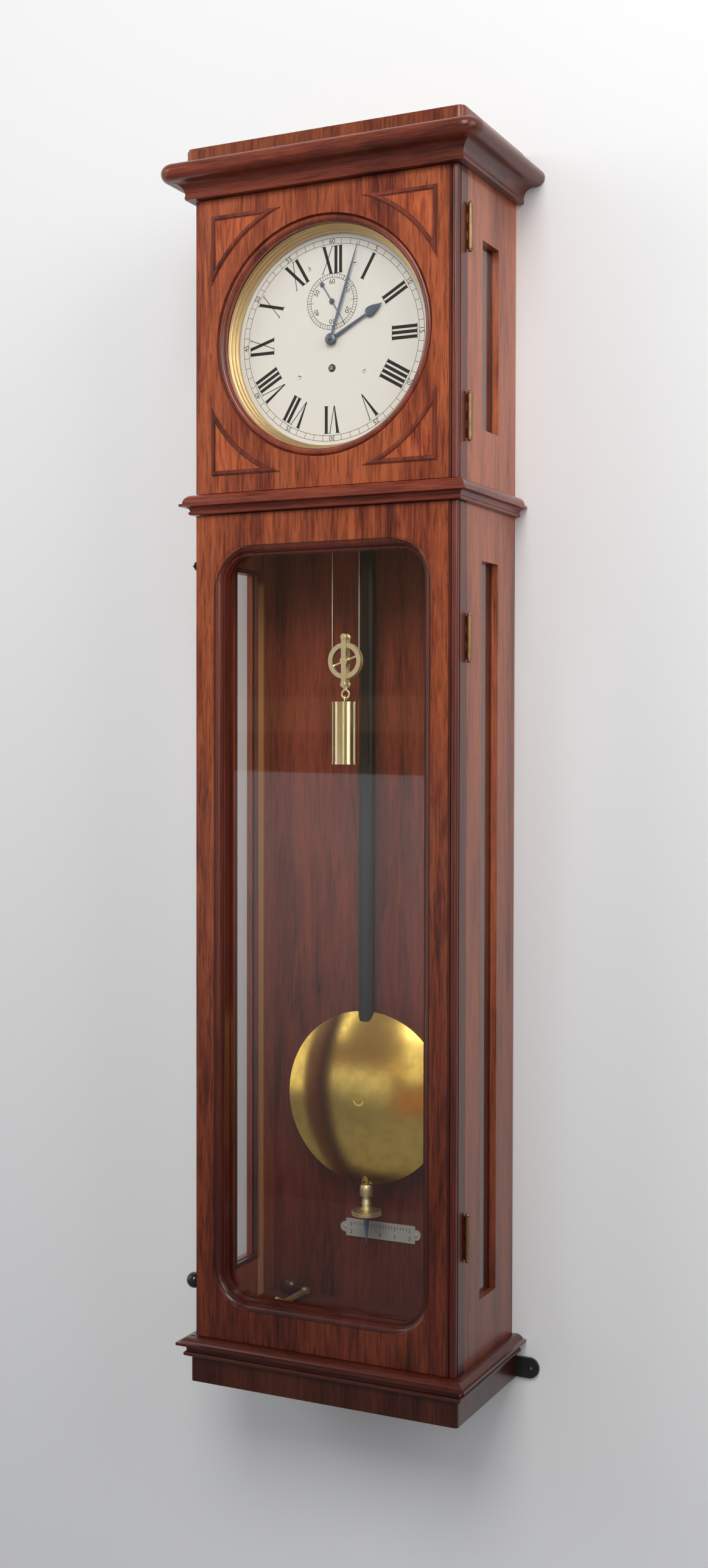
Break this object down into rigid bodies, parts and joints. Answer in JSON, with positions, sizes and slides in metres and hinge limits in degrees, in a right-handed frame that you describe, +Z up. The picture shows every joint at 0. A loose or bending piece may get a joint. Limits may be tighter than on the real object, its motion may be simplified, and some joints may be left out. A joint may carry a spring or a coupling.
{
  "type": "wall-hung regulator clock",
  "caption": "Long wall clock case with two glazed doors, side windows and moulded cornice, silvered dial, geared movement, pulley-hung weight and seconds pendulum.",
  "frame": {"origin": "hole in the hanging plate, in the plane of the wall", "axes": "+Z up, +Y into the wall, +X to the right seen from the front; the doors face -Y"},
  "size_m": [0.425, 0.2235, 1.527],
  "materials": {
    "case_wood": "polished reddish veneer",
    "moulding_wood": "polished dark reddish brown",
    "inner_wood": "dull brown",
    "glass": "clear",
    "brass": "polished",
    "pale_brass": "satin",
    "aged_brass": "aged",
    "steel": "satin",
    "blued_steel": "blued",
    "silvered": "silvered, grained",
    "ebonised": "ebonised and polished",
    "black_paint": "black",
    "gut": "waxed line"
  },
  "bodies": {
    "case": {"backboard": "inner_wood", "side_left": "case_wood", "side_right": "case_wood", "side_panes": "glass", "pane_beads": "moulding_wood", "cornice": "moulding_wood", "crest": "moulding_wood", "mid_moulding": "moulding_wood", "cross_rail": "inner_wood", "base_moulding": "moulding_wood", "plinth": "moulding_wood", "floor_board": "inner_wood", "hang_plate": "steel", "wall_bar": "black_paint", "seatboard": "inner_wood", "seat_cheeks": "inner_wood", "beat_scale": "silvered", "suspension_cock": "brass", "line_anchor": "brass", "front_plate": "brass", "back_plate": "brass", "pillars": "brass", "dial_plate": "silvered", "dial_screws": "blued_steel", "hinge_posts": "aged_brass", "line": "gut", "winding_crank": "brass"},
    "crank_grip": {"crank_handle": "ebonised"},
    "hood_door": {"hood_door": "case_wood", "door_ring": "moulding_wood", "spandrel_beads": "moulding_wood", "spandrel_panels": "case_wood", "hood_glass": "glass", "sight_ring": "brass", "hood_hinges": "aged_brass"},
    "trunk_door": {"trunk_door": "case_wood", "trunk_glass": "glass", "trunk_glass_bead": "moulding_wood", "trunk_hinges": "aged_brass", "trunk_knobs": "ebonised"},
    "centre_arbor": {"centre_wheel": "brass", "minute_hand": "blued_steel"},
    "hour_pipe": {"hour_wheel": "brass", "hour_hand": "blued_steel"},
    "minute_wheel": {"minute_wheel": "brass"},
    "third_arbor": {"third_wheel": "brass"},
    "escape_arbor": {"escape_wheel": "brass", "seconds_hand": "blued_steel"},
    "great_wheel": {"great_wheel": "brass"},
    "barrel": {"barrel": "brass"},
    "pallet_arbor": {"pallets": "steel"},
    "pendulum": {"suspension_spring": "steel", "pendulum_rod": "ebonised", "pointer": "blued_steel"},
    "bob": {"bob": "brass"},
    "rating_nut": {"rating_nut": "pale_brass"},
    "weight": {"weight": "pale_brass", "pulley_frame": "brass"},
    "pulley": {"pulley_wheel": "brass"}
  },
  "joints": [
    {"name": "hood_door_hinge", "type": "hinge", "parent": "case", "child": "hood_door", "pos_m": [0.1785, -0.158, -0.152], "axis": [0, 0, 1], "range_deg": [0, 105]},
    {"name": "trunk_door_hinge", "type": "hinge", "parent": "case", "child": "trunk_door", "pos_m": [0.1785, -0.158, -0.8725], "axis": [0, 0, 1], "range_deg": [0, 105]},
    {"name": "escape_arbor_turn", "type": "hinge", "parent": "case", "child": "escape_arbor", "pos_m": [-0.002, -0.118, -0.1095], "axis": [0, 1, 0], "continuous": true},
    {"name": "third_arbor_turn", "type": "hinge", "parent": "case", "child": "third_arbor", "pos_m": [0.00536, -0.118, -0.13178], "axis": [0, 1, 0], "continuous": true},
    {"name": "centre_arbor_turn", "type": "hinge", "parent": "case", "child": "centre_arbor", "pos_m": [-0.002, -0.118, -0.1555], "axis": [0, 1, 0], "continuous": true},
    {"name": "hour_pipe_turn", "type": "hinge", "parent": "case", "child": "hour_pipe", "pos_m": [-0.002, -0.15, -0.1555], "axis": [0, 1, 0], "continuous": true},
    {"name": "minute_wheel_turn", "type": "hinge", "parent": "case", "child": "minute_wheel", "pos_m": [0.013, -0.146, -0.1555], "axis": [0, 1, 0], "continuous": true},
    {"name": "great_wheel_turn", "type": "hinge", "parent": "case", "child": "great_wheel", "pos_m": [-0.002, -0.134, -0.1896], "axis": [0, 1, 0], "continuous": true},
    {"name": "weight_fall", "type": "slide", "parent": "case", "child": "weight", "axis": [0, 0, 1], "range_m": [-0.64, 0.24], "deforming": ["line"]},
    {"name": "pulley_turn", "type": "hinge", "parent": "weight", "child": "pulley", "pos_m": [-0.002, -0.118, -0.5415], "axis": [0, 1, 0], "range_deg": [-760, 2010]},
    {"name": "barrel_turn", "type": "hinge", "parent": "case", "child": "barrel", "pos_m": [-0.002, -0.118, -0.1896], "axis": [0, 1, 0], "range_deg": [-1510, 4020]},
    {"name": "pendulum_swing", "type": "hinge", "parent": "case", "child": "pendulum", "pos_m": [-0.002, -0.055, -0.086], "axis": [0, 1, 0], "range_deg": [-2.2, 2.2]},
    {"name": "pallet_rock", "type": "hinge", "parent": "case", "child": "pallet_arbor", "pos_m": [-0.002, -0.1, -0.086], "axis": [0, 1, 0], "range_deg": [-2.2, 2.2]},
    {"name": "rating_nut_turn", "type": "hinge", "parent": "bob", "child": "rating_nut", "pos_m": [-0.002, -0.055, -1.24], "axis": [0, 0, 1], "range_deg": [-540, 1440]},
    {"name": "bob_rise", "type": "slide", "parent": "pendulum", "child": "bob", "axis": [0, 0, 1], "range_m": [-0.0015, 0.004]},
    {"name": "crank_handle_spin", "type": "hinge", "parent": "case", "child": "crank_grip", "pos_m": [-0.10914, -0.03751, -1.3558], "axis": [-0.9278, 0.373, 0], "continuous": true}
  ],
  "couplings": [
    {"joint": "third_arbor_turn", "follows": "escape_arbor_turn", "ratio": -0.13333},
    {"joint": "centre_arbor_turn", "follows": "escape_arbor_turn", "ratio": 0.016667},
    {"joint": "minute_wheel_turn", "follows": "escape_arbor_turn", "ratio": -0.005556},
    {"joint": "hour_pipe_turn", "follows": "escape_arbor_turn", "ratio": 0.0013889},
    {"joint": "great_wheel_turn", "follows": "escape_arbor_turn", "ratio": -0.0013889},
    {"joint": "pulley_turn", "follows": "weight_fall", "rad_per_m": -54.348},
    {"joint": "barrel_turn", "follows": "weight_fall", "rad_per_m": -108.7},
    {"joint": "pallet_rock", "follows": "pendulum_swing", "ratio": 1},
    {"joint": "rating_nut_turn", "follows": "bob_rise", "rad_per_m": 6283.2}
  ]
}
